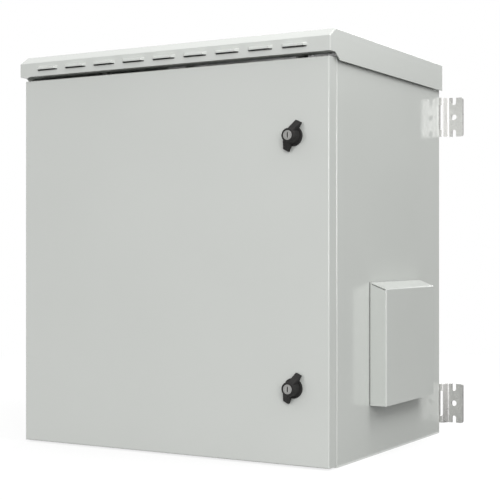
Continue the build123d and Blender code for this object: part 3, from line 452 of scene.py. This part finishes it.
# pan head with a cross recess
def crossScrew(size):
    pan = {"sides": 40, "arms": 4, "reach": 0.58, "arm": 0.13, "floorReach": 0.55, "floorArm": 0.7,
           "floor": 0.35, "lip": 0.94, "dome": (0.66, 0.78, 0.88, 0.95), "fall": 0.55, "power": 2.6,
           "side": 0.25, "underEdge": 0.0001, "under": 0.98, "neck": 0.0003, "ends": 0.0006, "tip": 0.75}
    radius, head, shank = size["round"], size["head"], size["shank"]
    reach, arm, arms = radius * pan["reach"], radius * pan["arm"], pan["arms"]
    angles = armAngles(pan["sides"], reach, arm, arms)
    rings = [armRing(angles, reach * pan["floorReach"], arm * pan["floorArm"], head * pan["floor"], arms),
             armRing(angles, reach, arm, head * pan["lip"], arms)]
    for share in pan["dome"]:
        rings.append(circleRing(angles, radius * share, head * (1 - pan["fall"] * share ** pan["power"])))
    rings += [circleRing(angles, radius, head * pan["side"]), circleRing(angles, radius, pan["underEdge"]),
              circleRing(angles, radius * pan["under"], 0.0), circleRing(angles, shank, 0.0)]
    rings += threadRings(angles, shank, -pan["neck"], size["length"] - pan["ends"], size["pitch"])
    rings.append(circleRing(angles, shank * pan["tip"], -size["length"]))
    return turnedBody(angles, rings)


def threadedStud(size):
    stud = {"sides": 40, "top": 0.78, "foot": 0.9, "neck": 0.0007, "ends": 0.0008}
    angles = evenAngles(stud["sides"])
    rings = [circleRing(angles, size["shank"] * stud["top"], 0.0)]
    rings += threadRings(angles, size["shank"], -stud["neck"], size["length"] - stud["ends"], size["pitch"])
    rings.append(circleRing(angles, size["shank"] * stud["foot"], -size["length"]))
    return turnedBody(angles, rings)


def smallFasteners():
    x, y, z = (1, 0, 0), (0, 1, 0), (0, 0, 1)
    left, front, down = (-1, 0, 0), (0, -1, 0), (0, 0, -1)
    camScrew = {"flat": 0.00953, "head": 0.004, "shank": 0.0025, "length": 0.01, "pitch": 0.0008}
    boltSizes = {
        "bracket_bolts": {"flat": 0.013, "head": 0.0053, "shank": 0.004, "length": 0.0175, "pitch": 0.00125},
        "upper_cam_screw": camScrew,
        "lower_cam_screw": camScrew,
    }
    for node, size in boltSizes.items():
        fastenerSet(node, hexBolt(size), size["head"], y, x)
    lockNut = {"flat": 0.02685, "shank": 0.01005, "depth": 0.006, "axis": y, "across": x}
    nutSizes = {
        "bracket_nuts": {"flat": 0.013, "shank": 0.00405, "depth": 0.0065, "axis": front, "across": x},
        "roof_nuts": {"flat": 0.01005, "shank": 0.00305, "depth": 0.005, "axis": down, "across": x},
        "hood_nuts": {"flat": 0.00797, "shank": 0.00255, "depth": 0.004, "axis": left, "across": y},
        "fan_nuts": {"flat": 0.00693, "shank": 0.00205, "depth": 0.0032, "axis": x, "across": y},
        "rail_nuts": {"flat": 0.00935, "shank": 0.00305, "depth": 0.005, "axis": None, "across": y},
        "upper_lock_nut": lockNut,
        "lower_lock_nut": lockNut,
        "earth_nut": {"flat": 0.01299, "shank": 0.00405, "depth": 0.0065, "axis": z, "across": x},
    }
    for node, size in nutSizes.items():
        fastenerSet(node, hexNut(size), size["depth"], size["axis"], size["across"])
    screwSizes = {
        "fan_screws": {"round": 0.0038, "head": 0.0025, "shank": 0.002, "length": 0.0392, "pitch": 0.0007,
                       "axis": left, "across": y},
        "gland_screws": {"round": 0.0045, "head": 0.003, "shank": 0.0025, "length": 0.00345, "pitch": 0.0008,
                         "axis": z, "across": x},
        "rail_bolts": {"round": 0.005, "head": 0.0035, "shank": 0.003, "length": 0.012, "pitch": 0.001,
                       "axis": None, "across": y},
        "hinge_screws": {"round": 0.004, "head": 0.002, "shank": 0.002, "length": 0.002, "pitch": 0.0007,
                         "axis": front, "across": x},
    }
    for node, size in screwSizes.items():
        fastenerSet(node, crossScrew(size), size["head"], size["axis"], size["across"])
    earthStud = {"shank": 0.004, "length": 0.03, "pitch": 0.00125}
    fastenerSet("earth_stud", threadedStud(earthStud), 0.0, z, x)
    print("bolts, nuts and screws made")


# key plugs: chamfered face with a fine turned line round a keyway with worn lips
def keyPlugs():
    plug = {"sides": 48, "arms": 2, "radius": 0.0075, "length": 0.01254, "chamfer": 0.0003, "line": 0.0058,
            "lineHalf": 0.0002, "lineDepth": 0.00025, "keyReach": 0.004, "keyHalf": 0.0008, "keyDepth": 0.007,
            "lip": 0.0004, "lipReach": 1.08, "lipHalf": 1.35}
    radius, length, chamfer, line = plug["radius"], plug["length"], plug["chamfer"], plug["line"]
    reach, half, arms = plug["keyReach"], plug["keyHalf"], plug["arms"]
    angles = armAngles(plug["sides"], reach, half, arms)
    rings = [
        armRing(angles, reach, half, -plug["keyDepth"], arms),
        armRing(angles, reach, half, -plug["lip"], arms),
        armRing(angles, reach * plug["lipReach"], half * plug["lipHalf"], 0.0, arms),
        circleRing(angles, line - plug["lineHalf"], 0.0),
        circleRing(angles, line, -plug["lineDepth"]),
        circleRing(angles, line + plug["lineHalf"], 0.0),
        circleRing(angles, radius - chamfer, 0.0),
        circleRing(angles, radius, -chamfer),
        circleRing(angles, radius, chamfer - length),
        circleRing(angles, radius - chamfer, -length),
    ]
    shape = turnedBody(angles, rings)
    for level in ("upper", "lower"):
        turnedSet(level + "KeyPlug", level + "_lock_plug", shape, 0.0, (0, -1, 0), (0, 0, 1))
    print("key plugs made")


# closed membrane grommets: rolled rims, stepped cone and a dimple to pierce for the cable
def cableGrommets():
    grommet = {"sides": 48, "rim": 0.02, "neck": 0.016, "lower": 0.0012, "sheet": 0.002, "upper": 0.0025,
               "cone": 0.006, "tip": 0.0113, "tipRound": 0.0006, "steps": (0.25, 0.5, 0.75), "stepIn": 0.0004,
               "stepLift": 0.0003, "rootLift": 0.0002, "rimSlope": 0.0012, "rimDrop": 0.001, "edge": 0.0004,
               "lowerEdge": 0.0003, "lowerTaper": 0.0006, "hollow": (0.6, 0.55), "hollowDepth": 0.0005,
               "dimple": ((0.002, 0.0012), (0.0035, 0.0002), (0.0048, 0.0), (0.0062, 0.0), (0.0066, 0.0006),
                          (0.0085, 0.0006), (0.0089, 0.0))}
    rim, neck, tip, top = grommet["rim"], grommet["neck"], grommet["tip"], grommet["cone"]
    edge, tipRound = grommet["edge"], grommet["tipRound"]
    profile = [(radius, top - drop) for radius, drop in grommet["dimple"]]
    profile += [(tip - tipRound, top), (tip, top - tipRound)]
    for step in grommet["steps"]:
        reach, height = tip + (neck - tip) * step, top * (1 - step)
        profile += [(reach - grommet["stepIn"], height + grommet["stepLift"]), (reach, height)]
    profile += [(neck, grommet["rootLift"]), (rim - grommet["rimSlope"], 0.0), (rim, -grommet["rimDrop"])]
    under = -grommet["upper"]
    profile += [(rim, under + edge), (rim - edge, under), (neck, under)]
    under -= grommet["sheet"]
    profile += [(neck, under), (rim - grommet["lowerEdge"], under), (rim, under - edge)]
    under -= grommet["lower"]
    wide, narrow = grommet["hollow"]
    profile += [(rim - grommet["lowerTaper"], under), (neck * wide, under)]
    profile.append((neck * narrow, under + grommet["hollowDepth"]))
    angles = evenAngles(grommet["sides"])
    shape = turnedBody(angles, [circleRing(angles, radius, height) for radius, height in profile])
    fastenerSet("cable_grommets", shape, grommet["cone"], (0, 0, 1), (1, 0, 0))
    print("cable grommets made")


# closed path round a rectangle; each point has the way outward, longer at a mitred corner
def ringPath(halfX, halfY, corner, stepLength, cornerSteps=6):
    points = []
    for quarter in range(4):
        angle = quarter * math.pi / 2
        cosine, sine = round(math.cos(angle)), round(math.sin(angle))
        long, wide = (halfY, halfX) if quarter % 2 == 0 else (halfX, halfY)
        run = 2 * (long - corner)
        steps = max(2, round(run / stepLength))
        for i in range(steps):
            along = -run / 2 + run * (i + 0.5) / steps
            points.append(((wide * cosine - along * sine, wide * sine + along * cosine), (cosine, sine)))
        if not corner:
            spot = (wide * cosine - long * sine, wide * sine + long * cosine)
            points.append((spot, (cosine - sine, sine + cosine)))
            continue
        middleX = (wide - corner) * cosine - (long - corner) * sine
        middleY = (wide - corner) * sine + (long - corner) * cosine
        for i in range(cornerSteps + 1):
            bendAngle = angle + math.pi / 2 * i / cornerSteps
            out = (math.cos(bendAngle), math.sin(bendAngle))
            points.append(((middleX + corner * out[0], middleY + corner * out[1]), out))
    return points


# a soft strip with the given section, laid along the path; the skin wavers a little
def softRing(path, section, waver):
    skin = {"along": 0.37, "round": 0.21, "seed": 2.7, "inward": 0.6, "heightShare": 0.3}
    verts, faces, count = [], [], len(section)
    for number, ((along, up), (outX, outY)) in enumerate(path):
        for index, (side, height) in enumerate(section):
            spot = Vector((number * skin["along"], index * skin["round"], skin["seed"]))
            shake = waver * (noise.noise(spot) - skin["inward"])
            reach, rise = side * (1 + shake), height * (1 + shake * skin["heightShare"])
            verts.append((along + outX * reach, up + outY * reach, rise))
    for number in range(len(path)):
        a, b = number * count, (number + 1) % len(path) * count
        for index in range(count):
            other = (index + 1) % count
            faces.append((a + index, b + index, b + other, a + other))
    return verts, faces


# the far half of a soft strip's section, back down from its middle
def otherHalf(half):
    return [(-side, height) for side, height in reversed(half)]


# door gasket: a foam bulb, dented where the lip of the frame presses it
def doorGasket():
    gasket = {"width": 0.01, "corner": 0.008, "step": 0.012, "waver": 0.04, "sharp": 50.0, "dent": 0.955,
              "half": ((0.46, 0.0), (0.5, 0.05), (0.5, 0.45), (0.475, 0.66), (0.4, 0.83), (0.27, 0.95),
                       (0.13, 0.995))}
    low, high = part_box("door_gasket")
    width, depth = gasket["width"], high[1] - low[1]
    shares = [*gasket["half"], (0.0, gasket["dent"]), *otherHalf(gasket["half"])]
    section = [(side * width, height * depth) for side, height in shares]
    path = ringPath((high[0] - low[0] - width) / 2, (high[2] - low[2] - width) / 2,
                    gasket["corner"], gasket["step"])
    place = standing(((low[0] + high[0]) / 2, low[1], (low[2] + high[2]) / 2), (0, 1, 0), (-1, 0, 0))
    newPiece("doorGasket", softRing(path, section, gasket["waver"]), [place], "door_gasket", gasket["sharp"])


# hood seal: a flat rubber strip, squeezed so that its edges bulge
def hoodSeal():
    seal = {"width": 0.014, "step": 0.008, "waver": 0.02, "sharp": 50.0,
            "half": ((0.48, 0.0), (0.5, 0.3), (0.5, 0.7), (0.48, 1.0))}
    low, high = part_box("hood_seal")
    width, depth = seal["width"], high[0] - low[0]
    shares = [*seal["half"], *otherHalf(seal["half"])]
    section = [(side * width, height * depth) for side, height in shares]
    path = ringPath((high[1] - low[1] - width) / 2, (high[2] - low[2] - width) / 2, 0.0, seal["step"])
    place = standing((low[0], (low[1] + high[1]) / 2, (low[2] + high[2]) / 2), (1, 0, 0), (0, 1, 0))
    newPiece("hoodSeal", softRing(path, section, seal["waver"]), [place], "hood_seal", seal["sharp"])


# filter mat: lofty fleece, tufted at random and pinched in round its four screws
def filterMat():
    mat = {"grid": 64, "tuft": 0.0007, "tuftSize": 0.004, "edge": 0.0012, "edgeBand": 0.003, "pinch": 0.0016,
           "screws": 0.0525, "reach": 0.008, "fray": 0.006, "frayBand": 0.002, "fraySize": 0.003,
           "fraySeed": 9.1, "sharp": 80.0}
    low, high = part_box("filter_mat")
    count, sizes, half = mat["grid"], (high[1] - low[1], high[2] - low[2]), (high[0] - low[0]) / 2
    verts, faces = [], []
    for side in (1, -1):
        for i in range(count + 1):
            for j in range(count + 1):
                across, up = (i / count - 0.5) * sizes[0], (j / count - 0.5) * sizes[1]
                inset = min(i, j, count - i, count - j) / count * sizes[0]
                tuft = mat["tuft"] * (0.5 + 0.5 * noise.noise(Vector((across, up, side)) / mat["tuftSize"]))
                screw = math.hypot(abs(across) - mat["screws"], abs(up) - mat["screws"])
                pinch = mat["pinch"] * (1 - min(screw / mat["reach"], 1.0)) ** 2
                dip = tuft + pinch + mat["edge"] * max(0.0, 1 - inset / mat["edgeBand"]) ** 2
                fray = 1 + noise.noise(Vector((across, up, mat["fraySeed"])) / mat["fraySize"])
                rim = 1 - mat["fray"] * max(0.0, 1 - inset / mat["frayBand"]) * fray
                verts.append((across * rim, up * rim, side * (half - dip)))
    rows = count + 1
    base = rows * rows
    for i in range(count):
        for j in range(count):
            a = i * rows + j
            b = base + a
            faces += [(a, a + rows, a + rows + 1, a + 1), (b, b + 1, b + rows + 1, b + rows)]
    rimLoop = list(range(count)) + [i * rows + count for i in range(count)]
    rimLoop += [count * rows + count - j for j in range(count)] + [(count - i) * rows for i in range(count)]
    for first, second in zip(rimLoop, rimLoop[1:] + rimLoop[:1]):
        faces.append((first, second, base + second, base + first))
    place = standing([(a + b) / 2 for a, b in zip(low, high)], (1, 0, 0), (0, 1, 0))
    newPiece("filterMat", (verts, faces), [place], "filter_mat", mat["sharp"])
    print("gasket, seal and filter mat made")


smallFasteners()
keyPlugs()
cableGrommets()
doorGasket()
hoodSeal()
filterMat()


# floor, light and camera

def matteMaterial(name):
    matteRoughness = 0.9
    material = bpy.data.materials.new(name)
    material.use_nodes = True
    surface = material.node_tree.nodes["Principled BSDF"]
    surface.inputs["Roughness"].default_value = matteRoughness
    surface.inputs["Specular IOR Level"].default_value = 0.0
    return material, material.node_tree, surface.inputs


# 1 for the rays that see the pale room as white: camera, glossy and transmission rays
def raySeen(tree):
    rays = addNode(tree, "ShaderNodeLightPath").outputs
    seen = maths(tree, "MAXIMUM", rays["Is Camera Ray"], rays["Is Glossy Ray"])
    return maths(tree, "MAXIMUM", seen, rays["Is Transmission Ray"])


# the floor keeps the shadow near the cabinet and fades to white further off
def paleFloor():
    ground = {"size": 28.0, "drop": 0.0002, "tone": (0.22, 0.22, 0.22), "glow": 0.78, "fade": (0.75, 1.9)}
    bpy.ops.mesh.primitive_plane_add(size=ground["size"], location=(0, 0, -ground["drop"]))
    floor = bpy.context.object
    floor.name = "floor"
    material, tree, surface = matteMaterial("paleFloor")
    place = addNode(tree, "ShaderNodeTexCoord")
    span = addNode(tree, "ShaderNodeVectorMath", operation="LENGTH")
    wire(tree, place.outputs["Object"], span.inputs[0])
    far = mapRange(tree, span.outputs["Value"], ground["fade"], (0.0, 1.0))
    wire(tree, mixColour(tree, far, ground["tone"], (0.0, 0.0, 0.0)), surface["Base Color"])
    glow = mapRange(tree, span.outputs["Value"], ground["fade"], (ground["glow"], 1.0))
    surface["Emission Color"].default_value = (1, 1, 1, 1)
    wire(tree, maths(tree, "MULTIPLY", raySeen(tree), glow), surface["Emission Strength"])
    floor.data.materials.append(material)


def softLight(name, box):
    lamp = bpy.data.lights.new(name, "AREA")
    lamp.shape = "RECTANGLE"
    lamp.size, lamp.size_y = box["size"]
    lamp.energy = box["power"]
    thing = bpy.data.objects.new(name, lamp)
    thing.location = box["place"]
    thing.visible_glossy = box["mirrored"]
    thing.rotation_euler = (Vector(box["aim"]) - Vector(box["place"])).to_track_quat("-Z", "Y").to_euler()
    bpy.context.collection.objects.link(thing)


def studioLight():
    room = {"light": 0.68, "seen": 1.0}
    lamps = {
        "rightSoftbox": {"place": (1.2, -0.1, 1.7), "aim": (0.32, -0.05, 0.3), "size": (0.9, 1.8),
                         "power": 17.0, "mirrored": True},
        "frontSoftbox": {"place": (-0.9, -2.7, 0.9), "aim": (-0.1, -0.2, 0.25), "size": (1.6, 1.0),
                         "power": 11.0, "mirrored": False},
        "keySoftbox": {"place": (2.4, -3.6, 2.2), "aim": (0.3, -0.2, 0.3), "size": (1.5, 1.4),
                       "power": 61.0, "mirrored": False},
        "edgeSoftbox": {"place": (2.9, -3.4, 0.6), "aim": (0.3, -0.2, 0.35), "size": (1.5, 0.9),
                        "power": 29.0, "mirrored": True},
        "leftSoftbox": {"place": (-2.2, 0.7, 1.2), "aim": (-0.2, 0.1, 0.3), "size": (1.2, 1.6),
                        "power": 7.0, "mirrored": True},
        "backSoftbox": {"place": (-0.7, 2.7, 1.5), "aim": (-0.1, 0.2, 0.3), "size": (1.6, 1.5),
                        "power": 22.0, "mirrored": True},
    }
    for name, box in lamps.items():
        softLight(name, box)
    world = bpy.data.worlds.new("paleRoom")
    bpy.context.scene.world = world
    world.use_nodes = True
    tree = world.node_tree
    sky = tree.nodes["Background"]
    sky.inputs["Color"].default_value = (1, 1, 1, 1)
    strength = mapRange(tree, raySeen(tree), (0.0, 1.0), (room["light"], room["seen"]))
    wire(tree, strength, sky.inputs["Strength"])


# a soft-edged grey sweep beside and behind the right side, out of the picture, deepens its reflections
def greySweep():
    sweep = {"tone": 0.12, "rise": 1.2, "lift": 0.001, "across": (0.866, -0.5), "near": (-0.3, 0.05),
             "far": (0.5, 0.95), "top": (0.75, 1.2),
             "mat": ((0.305, -0.24), (1.9, -0.24), (1.9, 1.3), (0.305, 1.3))}
    corners = [(x, y, sweep["lift"]) for x, y in sweep["mat"]]
    corners += [(x, y, sweep["rise"]) for x, y in sweep["mat"][2:]]
    mesh = bpy.data.meshes.new("greySweep")
    mesh.from_pydata(corners, [], [(0, 1, 2, 3), (2, 4, 5, 3)])
    thing = bpy.data.objects.new("greySweep", mesh)
    bpy.context.collection.objects.link(thing)
    thing.visible_camera = False
    thing.visible_diffuse = False
    thing.visible_shadow = False
    material, tree, surface = matteMaterial("greySweep")
    surface["Base Color"].default_value = (sweep["tone"],) * 3 + (1,)
    parts = addNode(tree, "ShaderNodeSeparateXYZ")
    wire(tree, addNode(tree, "ShaderNodeNewGeometry").outputs["Position"], parts.inputs[0])
    across = maths(tree, "ADD", maths(tree, "MULTIPLY", parts.outputs["X"], sweep["across"][0]),
                   maths(tree, "MULTIPLY", parts.outputs["Y"], sweep["across"][1]))
    edge = maths(tree, "MULTIPLY", mapRange(tree, across, sweep["near"], (0.0, 1.0)),
                 mapRange(tree, across, sweep["far"], (1.0, 0.0)))
    top = mapRange(tree, parts.outputs["Z"], sweep["top"], (1.0, 0.0))
    wire(tree, maths(tree, "MULTIPLY", edge, top), surface["Alpha"])
    mesh.materials.append(material)


def photoCamera():
    shot = {"place": (1.149, -1.957, 0.3388), "tilt": 90.0, "turn": 30.0, "lens": 89.57, "sensor": 36.0,
            "far": 100}
    camera = bpy.data.cameras.new("camera")
    camera.lens = shot["lens"]
    camera.sensor_width = shot["sensor"]
    camera.clip_end = shot["far"]
    thing = bpy.data.objects.new("camera", camera)
    thing.location = shot["place"]
    thing.rotation_euler = (math.radians(shot["tilt"]), 0, math.radians(shot["turn"]))
    bpy.context.collection.objects.link(thing)
    bpy.context.scene.camera = thing


paleFloor()
studioLight()
greySweep()
photoCamera()
bpy.context.scene.view_settings.view_transform = "Standard"
print("floor, light and camera set")
